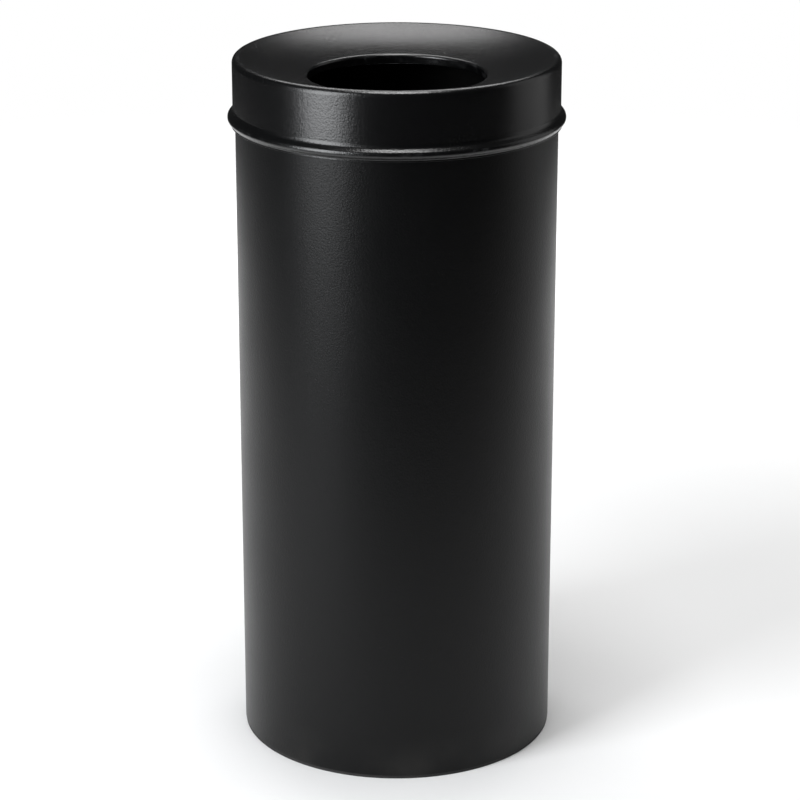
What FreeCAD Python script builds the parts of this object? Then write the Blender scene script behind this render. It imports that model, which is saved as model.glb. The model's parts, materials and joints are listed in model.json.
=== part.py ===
"""Round sheet-steel litter bin: a lift-off funnel lid, a painted outer body and a galvanised liner.

Origin: centre of the base, on the ground. +Z is up, the front is -Y and +X is to the right.
Lengths are in millimetres and angles in degrees.
"""
import FreeCAD, Part
import math
import os
import Sketcher

SIZES = {
    "overall_height": 665,    # ground to the top of the lid's rim
    "body_dia": 300,          # outside of the body shell
    "body_sheet": 1.0,
    "body_drop": 27,          # rim of the lid down to the top edge of the body
    "body_hem": 10,           # depth of the folded hem on the body's top edge
    "foot_height": 3,         # rubber showing under the shell
    "foot_inset": 0.4,        # rubber set back from the shell's outside
    "foot_width": 10,
    "foot_upstand": 8,
    "foot_wall": 3,
    "pan_floor": 15,          # ground to the underside of the pan's gutter
    "pan_sheet": 1.0,
    "pan_rise": 4,            # height of the plateau over the gutter
    "plateau_gap": 7.9,       # plateau's edge inside the liner's turned-down base
    "pan_bend": 3,            # outside bend radius of the pan
    "drain_dia": 7,
    "drain_inset": 4,         # foot of the plateau's slope out to a drain hole's centre
    "drain_count": 4,
    "hem_round": 0.9,         # outside bend of a closed hem, in sheets
    "lid_gap": 1.2,           # radial play between the body and the lid's skirt
    "lid_sheet": 1.0,
    "lid_depth": 63,          # top of the rim down to the lip
    "rim_bend": 5.5,          # outside radius of the rolled rim
    "rim_flange": 12,         # skirt edge that turns in to meet the dish
    "rim_slope": 21,          # fall of the dish from the rim
    "mouth_slope": 10.5,      # fall of the dish towards the opening
    "dish_knee": 38,          # rim to where the two falls would meet
    "dish_bend": 240,         # hollow radius between them
    "opening_dia": 166,
    "neck_depth": 9,
    "neck_bend": 3,
    "neck_hem": 5,
    "bead_proud": 4.8,        # bead's crest outside the skirt
    "bead_flat": 3.4,         # crest height between the two flanks
    "bead_bend": 3.8,
    "bead_root": 6,           # hollow radius above the bead
    "lip_height": 1.8,
    "lip_step": 1.6,          # lip's outside beyond the skirt's outside
    "lip_bend": 1.2,
    "rest_sheet": 1.5,
    "rest_leg": 16,
    "rest_reach": 11,
    "rest_bend": 2.5,
    "rest_angle": 10,         # arc taken up by one bracket
    "rest_count": 4,
    "pad_thickness": 2,
    "pad_width": 8,
    "pad_angle": 8,
    "liner_gap": 5.6,         # liner's rim inside the body's hem
    "liner_sheet": 0.8,
    "liner_drop": 3,          # wall hanging below the liner's base
    "liner_bend": 2,
    "wire_dia": 4,            # wire inside the liner's rim
    "wire_gap": 0.05,
    "ear_sheet": 2,
    "ear_angle": 12,
    "ear_drop": 34,           # top of the liner's rim down to the foot of an ear
    "ear_rise": 9,            # bail's axis up to the top of an ear
    "ear_round": 7,
    "rivet_dia": 4,
    "rivet_head_dia": 8,
    "rivet_top_dia": 4,       # flat top of the coned head
    "rivet_head": 1.6,
    "rivet_first": 12,        # top of the liner's rim down to the upper rivet
    "rivet_pitch": 13,
    "rivet_gap": 0.05,
    "bail_dia": 5,
    "bow_gap": 3.7,           # wire inside the ear plates
    "bow_over": 1,            # crown of the bow beyond the middle of the rim
    "bail_bend": 5,
    "bail_gap": 0.08,         # radial clearance of the wire in its ear
    "bail_end": 2.5,          # thickness of the flattened end
    "bail_end_dia": 9,
    "bail_end_gap": 0.8,
    "bail_headroom": 2,       # upright bail under the foot of the lid's neck
    "grip_dia": 12,
    "grip_angle": 44,
    "grip_gap": 0.05,
    "lying_gap": 0.3,         # grip over the liner's rim when the bail lies down
}

doc = FreeCAD.newDocument("LitterBin")
sheet = doc.addObject("Spreadsheet::Sheet", "sizes")
for row, (alias, value) in enumerate(SIZES.items(), 1):
    sheet.set("A%d" % row, alias)
    sheet.set("B%d" % row, str(value))
    sheet.setAlias("B%d" % row, alias)
doc.recompute()

nodes = []


# ---- sketching helpers ----------------------------------------------------------------------

def part_body(name):
    """A PartDesign body that becomes the node of the same name."""
    body = doc.addObject("PartDesign::Body", name)
    body.Label = name
    nodes.append(body)
    return body


def new_sketch(body, name, plane, offset=None):
    """A sketch on one of the body's own origin planes, moved along its normal by an expression."""
    sketch = body.newObject("Sketcher::SketchObject", name)
    support = next(item for item in body.Origin.OriginFeatures if item.Role == plane)
    sketch.AttachmentSupport = [(support, "")]
    sketch.MapMode = "FlatFace"
    if offset:
        sketch.setExpression("AttachmentOffset.Base.z", offset)
    return sketch


def bind(sketch, name, constraint, expression):
    """Add a dimension and tie it to the sheet."""
    index = sketch.addConstraint(constraint)
    sketch.renameConstraint(index, name)
    sketch.setExpression("Constraints." + name, expression)


def place(sketch, name, point, across, up):
    """Tie one point of a sketch to its distances from the origin; "0" puts it on the axis."""
    if across == "0":
        sketch.addConstraint(Sketcher.Constraint("PointOnObject", *point, -2))
    else:
        start = sheet.evalExpression(across)
        bind(sketch, name + "_across", Sketcher.Constraint("DistanceX", -1, 1, *point, start), across)
    if up == "0":
        sketch.addConstraint(Sketcher.Constraint("PointOnObject", *point, -1))
    else:
        start = sheet.evalExpression(up)
        bind(sketch, name + "_up", Sketcher.Constraint("DistanceY", -1, 1, *point, start), up)


def value_point(across, up):
    return FreeCAD.Vector(sheet.evalExpression(across), sheet.evalExpression(up), 0)


def outline(sketch, corners):
    """A closed outline. Each corner is (across, up) or (across, up, bend radius)."""
    points = [value_point(corner[0], corner[1]) for corner in corners]
    count = len(corners)
    arrive, leave, arcs = list(points), list(points), {}
    for i, corner in enumerate(corners):
        if len(corner) == 2:
            continue
        here = points[i]
        back = (points[i - 1] - here).normalize()
        ahead = (points[(i + 1) % count] - here).normalize()
        half = back.getAngle(ahead) / 2
        radius = sheet.evalExpression(corner[2])
        centre = here + (back + ahead).normalize() * (radius / math.sin(half))
        arrive[i] = here + back * (radius / math.tan(half))
        leave[i] = here + ahead * (radius / math.tan(half))
        middle = centre + (here - centre).normalize() * radius
        arcs[i] = Part.Arc(arrive[i], middle, leave[i])
    for i in range(count):
        sketch.addGeometry(Part.LineSegment(leave[i], arrive[(i + 1) % count]))
    for i, corner in enumerate(corners):
        before = (i - 1) % count
        name = "corner%d" % i
        if i not in arcs:
            sketch.addConstraint(Sketcher.Constraint("Coincident", before, 2, i, 1))
            place(sketch, name, (i, 1), corner[0], corner[1])
            continue
        arc = sketch.addGeometry(arcs[i])
        starts_here = (sketch.getPoint(arc, 1) - arrive[i]).Length < 1e-6
        first, last = (1, 2) if starts_here else (2, 1)
        sketch.addConstraint(Sketcher.Constraint("Tangent", before, 2, arc, first))
        sketch.addConstraint(Sketcher.Constraint("Tangent", arc, last, i, 1))
        radius = sheet.evalExpression(corner[2])
        bind(sketch, name + "_bend", Sketcher.Constraint("Radius", arc, radius), corner[2])
        mark = sketch.addGeometry(Part.Point(points[i]), True)
        sketch.addConstraint(Sketcher.Constraint("PointOnObject", mark, 1, before))
        sketch.addConstraint(Sketcher.Constraint("PointOnObject", mark, 1, i))
        place(sketch, name, (mark, 1), corner[0], corner[1])


def circle(sketch, name, across, up, radius):
    """One circle, placed and sized from the sheet."""
    middle = value_point(across, up)
    size = sheet.evalExpression(radius)
    index = sketch.addGeometry(Part.Circle(middle, FreeCAD.Vector(0, 0, 1), size))
    place(sketch, name, (index, 3), across, up)
    bind(sketch, name + "_radius", Sketcher.Constraint("Radius", index, size), radius)


def revolve(body, name, sketch, angle=None):
    """Turn a sketch on the XZ plane about Z: all the way, or by an angle centred on it."""
    turned = body.newObject("PartDesign::Revolution", name)
    turned.Profile = sketch
    turned.ReferenceAxis = (sketch, ["V_Axis"])
    turned.Angle = 360
    if angle:
        turned.Midplane = True
        turned.setExpression("Angle", angle)
    sketch.Visibility = False
    doc.recompute()
    return turned


def cut_through(body, name, sketch):
    """Pocket a sketch both ways, and see that it took something away."""
    before = body.Shape.Volume
    pocket = body.newObject("PartDesign::Pocket", name)
    pocket.Profile = sketch
    pocket.Midplane = True
    pocket.setExpression("Length", "2 * sizes.body_dia")
    sketch.Visibility = False
    doc.recompute()
    if body.Shape.Volume >= before - 1e-6:
        raise RuntimeError(name + " cuts nothing")
    return pocket


def turned_part(name, corners, angle=None):
    """A node that is one turned profile."""
    body = part_body(name)
    sketch = new_sketch(body, name + "_profile", "XZ_Plane")
    outline(sketch, corners)
    revolve(body, name + "_turned", sketch, angle)
    return body


# ---- places worked out from the sizes -------------------------------------------------------

HALF_BEND = "tan(22.5 deg)"                       # offset of a corner that turns by 45 degrees
RIM_SLOPE = "tan(sizes.rim_slope * 1 deg)"
RIM_SLANT = "(sizes.lid_sheet / cos(sizes.rim_slope * 1 deg))"
MOUTH_SLOPE = "tan(sizes.mouth_slope * 1 deg)"
MOUTH_SLANT = "(sizes.lid_sheet / cos(sizes.mouth_slope * 1 deg))"

BODY_OUT = "sizes.body_dia / 2"
BODY_IN = "(sizes.body_dia / 2 - sizes.body_sheet)"
BODY_TOP = "(sizes.overall_height - sizes.body_drop)"
FOOT_TOP = "sizes.foot_height"
SEAT = "(sizes.pan_floor + sizes.pan_rise + sizes.pan_sheet)"

SKIRT_OUT = "(sizes.body_dia / 2 + sizes.lid_gap + sizes.lid_sheet)"
SKIRT_IN = "(sizes.body_dia / 2 + sizes.lid_gap)"
CREST_LIFT = "(sizes.rim_bend * (%s + 1 / cos(sizes.rim_slope * 1 deg) - 1))" % RIM_SLOPE
RIM_CORNER = "(sizes.overall_height + %s)" % CREST_LIFT
LIP_LOW = "(sizes.overall_height - sizes.lid_depth)"


def rim_up(across, layers):
    """Height of the dish's outer fall at a radius: its top, or so many sheets below."""
    return "(%s - (%s - %s) * %s - %d * %s)" % (RIM_CORNER, SKIRT_OUT, across, RIM_SLOPE, layers, RIM_SLANT)


KNEE = "(%s - sizes.dish_knee)" % SKIRT_OUT
KNEE_UNDER = "(%s + sizes.lid_sheet * tan((sizes.rim_slope + sizes.mouth_slope) / 2 * 1 deg))" % KNEE


def mouth_up(across, layers):
    """Height of the dish's inner fall at a radius: its top, or so many sheets below."""
    return "(%s - (%s - %s) * %s - %d * %s)" % (rim_up(KNEE, 0), KNEE, across, MOUTH_SLOPE, layers, MOUTH_SLANT)


NECK_IN = "(sizes.opening_dia / 2)"
NECK_LOW = "(%s - sizes.neck_depth)" % mouth_up(NECK_IN, 0)
FLANGE_END = "(%s - sizes.rim_flange)" % SKIRT_OUT

CURL_IN = "(sizes.wire_dia / 2 + sizes.wire_gap)"
CURL_OUT = "(%s + sizes.liner_sheet)" % CURL_IN
LINER_IN = "(%s - sizes.body_sheet - sizes.liner_gap - 2 * %s)" % (BODY_IN, CURL_OUT)
LINER_OUT = "(%s + sizes.liner_sheet)" % LINER_IN
WIRE_ACROSS = "(%s + %s)" % (LINER_IN, CURL_OUT)
BOW = "(%s - sizes.ear_sheet - sizes.bow_gap - sizes.bail_dia / 2)" % LINER_IN
BAIL_LEG = "(%s + sizes.bow_over - %s)" % (WIRE_ACROSS, BOW)
PIVOT_UP = "(%s - sizes.bail_headroom - sizes.grip_dia / 2 - %s - %s)" % (NECK_LOW, BOW, BAIL_LEG)
LINER_RIM = "(%s - sizes.grip_dia / 2 - sizes.lying_gap)" % PIVOT_UP
WIRE_UP = "(%s - %s)" % (LINER_RIM, CURL_OUT)


# ---- lid: rolled skirt, pressed dish, four rests with rubber pads ----------------------------

def lid_skirt():
    """Band with a swaged bead and a lip below; its top edge rolls in and meets the dish."""
    lip_out = "(%s + sizes.lip_step)" % SKIRT_OUT
    bead_out = "(%s + sizes.bead_proud)" % SKIRT_OUT
    lip_top = "(%s + sizes.lip_height)" % LIP_LOW
    crest_low = "(%s + sizes.bead_proud - sizes.lip_step)" % lip_top
    crest_high = "(%s + sizes.bead_flat)" % crest_low
    root = "(%s + sizes.bead_proud)" % crest_high
    shift = "sizes.lid_sheet * " + HALF_BEND
    bead_in = bead_out + " - sizes.lid_sheet"
    crest_bend = "sizes.bead_bend - sizes.lid_sheet"
    turned_part("lid_skirt", [
        (lip_out, LIP_LOW),
        (lip_out, lip_top, "sizes.lip_bend"),
        (bead_out, crest_low, "sizes.bead_bend"),
        (bead_out, crest_high, "sizes.bead_bend"),
        (SKIRT_OUT, root, "sizes.bead_root"),
        (SKIRT_OUT, RIM_CORNER, "sizes.rim_bend"),
        (FLANGE_END, rim_up(FLANGE_END, 0)),
        (FLANGE_END, rim_up(FLANGE_END, 1)),
        (SKIRT_IN, rim_up(SKIRT_IN, 1), "sizes.rim_bend - sizes.lid_sheet"),
        (SKIRT_IN, "%s - %s" % (root, shift), "sizes.bead_root + sizes.lid_sheet"),
        (bead_in, "%s - %s" % (crest_high, shift), crest_bend),
        (bead_in, "%s + %s" % (crest_low, shift), crest_bend),
        (lip_out + " - sizes.lid_sheet", "%s + %s" % (lip_top, shift), "sizes.lip_bend + sizes.lid_sheet"),
        (lip_out + " - sizes.lid_sheet", LIP_LOW),
    ])


def lid_funnel():
    """Hollow dish butt-welded to the skirt's edge; its neck turns down and is hemmed."""
    neck_out = "(sizes.opening_dia / 2 + sizes.lid_sheet)"
    hem_out = "(sizes.opening_dia / 2 + 2 * sizes.lid_sheet)"
    hem_bend = "sizes.lid_sheet * sizes.hem_round"
    turned_part("lid_funnel", [
        (FLANGE_END, rim_up(FLANGE_END, 0)),
        (KNEE, rim_up(KNEE, 0), "sizes.dish_bend"),
        (NECK_IN, mouth_up(NECK_IN, 0), "sizes.neck_bend"),
        (NECK_IN, NECK_LOW, hem_bend),
        (hem_out, NECK_LOW, hem_bend),
        (hem_out, NECK_LOW + " + sizes.neck_hem"),
        (neck_out, NECK_LOW + " + sizes.neck_hem"),
        (neck_out, mouth_up(neck_out, 1), "sizes.neck_bend - sizes.lid_sheet"),
        (KNEE_UNDER, rim_up(KNEE_UNDER, 1), "sizes.dish_bend + sizes.lid_sheet"),
        (FLANGE_END, rim_up(FLANGE_END, 1)),
    ])


def lid_rests():
    """Angle brackets welded inside the skirt, each with a rubber pad that lands on the body's edge."""
    rest_low = "(%s + sizes.pad_thickness)" % BODY_TOP
    rest_high = "(%s + sizes.rest_leg)" % rest_low
    leg_in = "(%s - sizes.rest_sheet)" % SKIRT_IN
    tip = "(%s - sizes.rest_reach)" % SKIRT_IN
    pad_in = "(%s - sizes.pad_width)" % BODY_OUT
    for number in range(1, SIZES["rest_count"] + 1):
        rest = turned_part("lid_rest_%d" % number, [
            (tip, rest_low),
            (SKIRT_IN, rest_low, "sizes.rest_bend"),
            (SKIRT_IN, rest_high),
            (leg_in, rest_high),
            (leg_in, rest_low + " + sizes.rest_sheet", "sizes.rest_bend - sizes.rest_sheet"),
            (tip, rest_low + " + sizes.rest_sheet"),
        ], "sizes.rest_angle")
        pad = turned_part("lid_pad_%d" % number, [
            (pad_in, BODY_TOP),
            (BODY_OUT, BODY_TOP),
            (BODY_OUT, rest_low),
            (pad_in, rest_low),
        ], "sizes.pad_angle")
        turn = "(%d - 0.5) * 360 / sizes.rest_count * 1 deg" % number
        for piece in (rest, pad):
            piece.setExpression("Placement.Rotation.Angle", turn)


# ---- body: rolled shell, pressed pan, rubber foot ring ---------------------------------------

def body_shell():
    """Rolled and butt-welded shell with a closed hem folded inwards along its top edge."""
    hem_in = "(%s - sizes.body_sheet)" % BODY_IN
    hem_low = "(%s - sizes.body_hem)" % BODY_TOP
    hem_bend = "sizes.body_sheet * sizes.hem_round"
    turned_part("body_shell", [
        (BODY_OUT, FOOT_TOP),
        (BODY_OUT, BODY_TOP, hem_bend),
        (hem_in, BODY_TOP, hem_bend),
        (hem_in, hem_low),
        (BODY_IN, hem_low),
        (BODY_IN, FOOT_TOP),
    ])


def base_pan():
    """Pressed floor: a plateau that the liner stands on, a gutter with drain holes, a welded flange."""
    plateau = "(%s - sizes.liner_sheet - sizes.plateau_gap)" % LINER_IN
    slope_end = "(%s + sizes.pan_rise)" % plateau
    gutter = "(%s - sizes.pan_rise)" % SEAT
    shift = "sizes.pan_sheet * " + HALF_BEND
    inner_bend = "sizes.pan_bend - sizes.pan_sheet"
    body = turned_part("base_pan", [
        ("0", SEAT),
        (plateau, SEAT, "sizes.pan_bend"),
        (slope_end, gutter, inner_bend),
        (BODY_IN, gutter, "sizes.pan_bend"),
        (BODY_IN, FOOT_TOP),
        (BODY_IN + " - sizes.pan_sheet", FOOT_TOP),
        (BODY_IN + " - sizes.pan_sheet", gutter + " - sizes.pan_sheet", inner_bend),
        ("%s - %s" % (slope_end, shift), gutter + " - sizes.pan_sheet", "sizes.pan_bend"),
        ("%s - %s" % (plateau, shift), SEAT + " - sizes.pan_sheet", inner_bend),
        ("0", SEAT + " - sizes.pan_sheet"),
    ])
    drain = new_sketch(body, "drain_hole", "XY_Plane")
    circle(drain, "drain", slope_end + " + sizes.drain_inset", "0", "sizes.drain_dia / 2")
    pocket = cut_through(body, "drain_cut", drain)
    ring = body.newObject("PartDesign::PolarPattern", "drain_ring")
    ring.Originals = [pocket]
    ring.Axis = (drain, ["N_Axis"])
    ring.Angle = 360
    ring.setExpression("Occurrences", "sizes.drain_count")
    body.Tip = ring
    doc.recompute()


def foot_ring():
    """Black rubber ring pushed up inside the pan's flange; the bin stands on it."""
    outside = "(%s - sizes.foot_inset)" % BODY_OUT
    inside = "(%s - sizes.foot_width)" % outside
    grip = "(%s - sizes.pan_sheet)" % BODY_IN
    turned_part("foot_ring", [
        (inside, "0"),
        (outside, "0"),
        (outside, FOOT_TOP),
        (grip, FOOT_TOP),
        (grip, FOOT_TOP + " + sizes.foot_upstand"),
        (grip + " - sizes.foot_wall", FOOT_TOP + " + sizes.foot_upstand"),
        (grip + " - sizes.foot_wall", FOOT_TOP),
        (inside, FOOT_TOP),
    ])


# ---- liner: wired rim, seamed base, riveted ears, swinging bail -------------------------------

def liner_shell():
    """Rolled wall whose top edge curls outwards round a wire; rivet holes for the two ears."""
    body = part_body("liner_shell")
    sketch = new_sketch(body, "liner_shell_profile", "XZ_Plane")
    low = "(%s - sizes.liner_drop)" % SEAT
    centre = value_point(WIRE_ACROSS, WIRE_UP)
    down = FreeCAD.Vector(0, -1, 0)
    left = FreeCAD.Vector(-1, 0, 0)
    over = FreeCAD.Vector(1, 1, 0).normalize()
    big = sheet.evalExpression(CURL_OUT)
    small = sheet.evalExpression(CURL_IN)
    feet = [value_point(LINER_IN, low), value_point(LINER_OUT, low)]
    outer = sketch.addGeometry(Part.Arc(centre + left * big, centre + over * big, centre + down * big))
    inner = sketch.addGeometry(Part.Arc(centre + left * small, centre + over * small, centre + down * small))
    tip = sketch.addGeometry(Part.LineSegment(centre + down * big, centre + down * small))
    outside = sketch.addGeometry(Part.LineSegment(centre + left * small, feet[1]))
    foot = sketch.addGeometry(Part.LineSegment(feet[1], feet[0]))
    inside = sketch.addGeometry(Part.LineSegment(feet[0], centre + left * big))
    for arc, radius in ((outer, CURL_OUT), (inner, CURL_IN)):
        name = "curl%d" % arc
        start = sheet.evalExpression(radius)
        bind(sketch, name, Sketcher.Constraint("Radius", arc, start), radius)
    place(sketch, "curl_centre", (outer, 3), WIRE_ACROSS, WIRE_UP)
    sketch.addConstraint(Sketcher.Constraint("Coincident", outer, 3, inner, 3))
    sketch.addConstraint(Sketcher.Constraint("Coincident", outer, 1, tip, 1))
    sketch.addConstraint(Sketcher.Constraint("Coincident", tip, 2, inner, 1))
    sketch.addConstraint(Sketcher.Constraint("Tangent", inner, 2, outside, 1))
    sketch.addConstraint(Sketcher.Constraint("Coincident", outside, 2, foot, 1))
    sketch.addConstraint(Sketcher.Constraint("Coincident", foot, 2, inside, 1))
    sketch.addConstraint(Sketcher.Constraint("Tangent", inside, 2, outer, 2))
    sketch.addConstraint(Sketcher.Constraint("Vertical", tip))
    sketch.addConstraint(Sketcher.Constraint("PointOnObject", outer, 3, tip))
    sketch.addConstraint(Sketcher.Constraint("Vertical", outside))
    sketch.addConstraint(Sketcher.Constraint("Vertical", inside))
    sketch.addConstraint(Sketcher.Constraint("Horizontal", foot))
    bind(sketch, "foot_up", Sketcher.Constraint("DistanceY", -1, 1, foot, 1, feet[1].y), low)
    revolve(body, "liner_shell_turned", sketch)
    holes = new_sketch(body, "rivet_holes", "YZ_Plane")
    for number, up in enumerate(rivet_heights()):
        circle(holes, "rivet%d" % number, "0", up, "sizes.rivet_dia / 2 + sizes.rivet_gap")
    cut_through(body, "rivet_cut", holes)


def rivet_heights():
    upper = "(%s - sizes.rivet_first)" % LINER_RIM
    return [upper, "(%s - sizes.rivet_pitch)" % upper]


def liner_rim_wire():
    """Steel wire that the liner's rim is rolled around."""
    wire = doc.addObject("Part::Torus", "liner_rim_wire")
    wire.Label = "liner_rim_wire"
    wire.setExpression("Radius1", WIRE_ACROSS)
    wire.setExpression("Radius2", "sizes.wire_dia / 2")
    wire.setExpression("Placement.Base.z", WIRE_UP)
    nodes.append(wire)


def liner_base():
    """Flat pressed base with its edge turned down inside the wall."""
    low = "(%s - sizes.liner_drop)" % SEAT
    turned_part("liner_base", [
        ("0", SEAT),
        ("0", SEAT + " + sizes.liner_sheet"),
        (LINER_IN, SEAT + " + sizes.liner_sheet", "sizes.liner_bend"),
        (LINER_IN, low),
        (LINER_IN + " - sizes.liner_sheet", low),
        (LINER_IN + " - sizes.liner_sheet", SEAT, "sizes.liner_bend - sizes.liner_sheet"),
    ])


def liner_ear(name, half_turn):
    """Ear plate inside the wall that stands above the rim and carries one end of the bail."""
    top = "(%s + sizes.ear_rise)" % PIVOT_UP
    low = "(%s - sizes.ear_drop)" % LINER_RIM
    body = turned_part(name, [
        (LINER_IN + " - sizes.ear_sheet", low),
        (LINER_IN, low),
        (LINER_IN, top),
        (LINER_IN + " - sizes.ear_sheet", top),
    ], "sizes.ear_angle")
    holes = new_sketch(body, name + "_holes", "YZ_Plane")
    circle(holes, "pivot", "0", PIVOT_UP, "sizes.bail_dia / 2 + sizes.bail_gap")
    for number, up in enumerate(rivet_heights()):
        circle(holes, "rivet%d" % number, "0", up, "sizes.rivet_dia / 2 + sizes.rivet_gap")
    cut = cut_through(body, name + "_cut", holes)
    rounding = body.newObject("PartDesign::Fillet", name + "_round")
    rounding.Base = (cut, corner_edges(cut.Shape))
    rounding.setExpression("Radius", "sizes.ear_round")
    doc.recompute()
    body.Placement.Rotation = FreeCAD.Rotation(FreeCAD.Vector(0, 0, 1), half_turn * 180)


def corner_edges(shape):
    """Names of the short edges at an ear's upper corners, which run through its thickness."""
    top = shape.BoundBox.ZMax
    names = []
    for number, edge in enumerate(shape.Edges, 1):
        ends = edge.Vertexes
        level = all(abs(vertex.Z - top) < 1e-4 for vertex in ends)
        if len(ends) == 2 and level and edge.Length < 2 * SIZES["ear_sheet"]:
            names.append("Edge%d" % number)
    return names


def liner_ear_rivets():
    """Four identical rivets: shank through ear and wall, one head inside and one outside."""
    rivets = []
    for side, sign in (("right", 1), ("left", -1)):
        for number, up in enumerate(rivet_heights()):
            pieces = []
            ear_in = "(%s - sizes.ear_sheet)" % LINER_IN
            inner = "sqrt(%s ^ 2 - (sizes.rivet_head_dia / 2) ^ 2)" % ear_in
            for kind, start, length in (("shank", inner, "(%s - %s)" % (LINER_OUT, inner)),
                                        ("outer_head", LINER_OUT, "sizes.rivet_head"),
                                        ("inner_head", inner, "sizes.rivet_head")):
                shape_type = "Part::Cylinder" if kind == "shank" else "Part::Cone"
                piece = doc.addObject(shape_type, "rivet_%s_%d_%s" % (side, number, kind))
                if kind == "shank":
                    piece.setExpression("Radius", "sizes.rivet_dia / 2")
                else:
                    piece.setExpression("Radius1", "sizes.rivet_head_dia / 2")
                    piece.setExpression("Radius2", "sizes.rivet_top_dia / 2")
                piece.setExpression("Height", length)
                outwards = sign * (-1 if kind == "inner_head" else 1)
                piece.Placement.Rotation = FreeCAD.Rotation(FreeCAD.Vector(0, 1, 0), 90 * outwards)
                piece.setExpression("Placement.Base.x", "%d * %s" % (sign, start))
                piece.setExpression("Placement.Base.z", up)
                pieces.append(piece)
            rivet = doc.addObject("Part::MultiFuse", "rivet_%s_%d" % (side, number))
            rivet.Shapes = pieces
            rivets.append(rivet)
    group = doc.addObject("Part::Compound", "liner_ear_rivets")
    group.Label = "liner_ear_rivets"
    group.Links = rivets
    nodes.append(group)


def liner_bail():
    """Bent wire bow lying on the rim, its ends turned out through the ears and flattened."""
    body = part_body("liner_bail")
    path = new_sketch(body, "bail_path", "XY_Plane", PIVOT_UP)
    end_start = "(%s + sizes.bail_end_gap)" % LINER_IN
    bow = sheet.evalExpression(BOW)
    leg = sheet.evalExpression(BAIL_LEG)
    bend = sheet.evalExpression("sizes.bail_bend")
    tip = sheet.evalExpression(end_start)
    crown = path.addGeometry(Part.Arc(FreeCAD.Vector(-bow, -leg, 0), FreeCAD.Vector(0, -leg - bow, 0),
                                      FreeCAD.Vector(bow, -leg, 0)))
    bind(path, "bow", Sketcher.Constraint("Radius", crown, bow), BOW)
    place(path, "bow_centre", (crown, 3), "0", "-" + BAIL_LEG)
    lean = bend * math.sqrt(0.5)
    for side, sign in (("right", 1), ("left", -1)):
        corner = FreeCAD.Vector(sign * (bow + bend), -bend, 0)
        knee_start = FreeCAD.Vector(sign * bow, -bend, 0)
        knee_end = FreeCAD.Vector(sign * (bow + bend), 0, 0)
        knee_middle = corner + FreeCAD.Vector(-sign * lean, lean, 0)
        upright = path.addGeometry(Part.LineSegment(FreeCAD.Vector(sign * bow, -leg, 0), knee_start))
        knee = path.addGeometry(Part.Arc(knee_start, knee_middle, knee_end))
        stub = path.addGeometry(Part.LineSegment(knee_end, FreeCAD.Vector(sign * tip, 0, 0)))
        crown_end = 2 if (path.getPoint(crown, 2) - FreeCAD.Vector(sign * bow, -leg, 0)).Length < 1e-6 else 1
        knee_first = 1 if (path.getPoint(knee, 1) - knee_start).Length < 1e-6 else 2
        path.addConstraint(Sketcher.Constraint("Tangent", crown, crown_end, upright, 1))
        path.addConstraint(Sketcher.Constraint("Tangent", upright, 2, knee, knee_first))
        path.addConstraint(Sketcher.Constraint("Tangent", knee, 3 - knee_first, stub, 1))
        path.addConstraint(Sketcher.Constraint("Vertical", upright))
        bind(path, "knee_" + side, Sketcher.Constraint("Radius", knee, bend), "sizes.bail_bend")
        place(path, "end_" + side, (stub, 2), "%d * %s" % (sign, end_start), "0")
    doc.recompute()
    section = new_sketch(body, "bail_section", "YZ_Plane", end_start)
    circle(section, "wire", "0", PIVOT_UP, "sizes.bail_dia / 2")
    doc.recompute()
    pipe = body.newObject("PartDesign::AdditivePipe", "bail_wire")
    pipe.Profile = section
    pipe.Spine = path
    doc.recompute()
    for side, sign in (("right", 1), ("left", -1)):
        face = new_sketch(body, "bail_end_" + side, "YZ_Plane", "%d * %s" % (sign, end_start))
        circle(face, "end", "0", PIVOT_UP, "sizes.bail_end_dia / 2")
        head = body.newObject("PartDesign::Pad", "bail_head_" + side)
        head.Profile = face
        head.Reversed = sign < 0
        head.setExpression("Length", "sizes.bail_end")
        doc.recompute()


def bail_grip():
    """Plastic sleeve on the crown of the bow."""
    rings = []
    for name, radius in (("grip_outside", "sizes.grip_dia / 2"),
                         ("grip_bore", "sizes.bail_dia / 2 + sizes.grip_gap")):
        ring = doc.addObject("Part::Torus", name)
        ring.setExpression("Radius1", BOW)
        ring.setExpression("Radius2", radius)
        ring.setExpression("Angle3", "sizes.grip_angle")
        rings.append(ring)
    sleeve = doc.addObject("Part::Cut", "bail_grip")
    sleeve.Label = "bail_grip"
    sleeve.Base, sleeve.Tool = rings
    sleeve.Placement.Rotation = FreeCAD.Rotation(FreeCAD.Vector(0, 0, 1), 1)
    sleeve.setExpression("Placement.Rotation.Angle", "(270 - sizes.grip_angle / 2) * 1 deg")
    sleeve.setExpression("Placement.Base.y", "-" + BAIL_LEG)
    sleeve.setExpression("Placement.Base.z", PIVOT_UP)
    nodes.append(sleeve)


# ---- build, check and write ------------------------------------------------------------------

lid_skirt()
lid_funnel()
lid_rests()
body_shell()
base_pan()
foot_ring()
liner_shell()
liner_rim_wire()
liner_base()
liner_ear("liner_ear_right", 0)
liner_ear("liner_ear_left", 1)
liner_ear_rivets()
liner_bail()
bail_grip()
doc.recompute()

for item in doc.Objects:
    if "Invalid" in item.State or "Error" in item.State:
        raise RuntimeError("%s did not build: %s" % (item.Name, item.State))
for node in nodes:
    if node.Shape.isNull() or not node.Shape.isValid():
        raise RuntimeError("%s has no valid shape" % node.Label)

os.makedirs("parts", exist_ok=True)
for node in nodes:
    node.Shape.exportStep("parts/%s.step" % node.Label)
    box = node.Shape.BoundBox
    print("%-18s solids %d  volume %9.0f  x %.1f..%.1f  y %.1f..%.1f  z %.1f..%.1f" % (
        node.Label, len(node.Shape.Solids), node.Shape.Volume,
        box.XMin, box.XMax, box.YMin, box.YMax, box.ZMin, box.ZMax))
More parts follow.
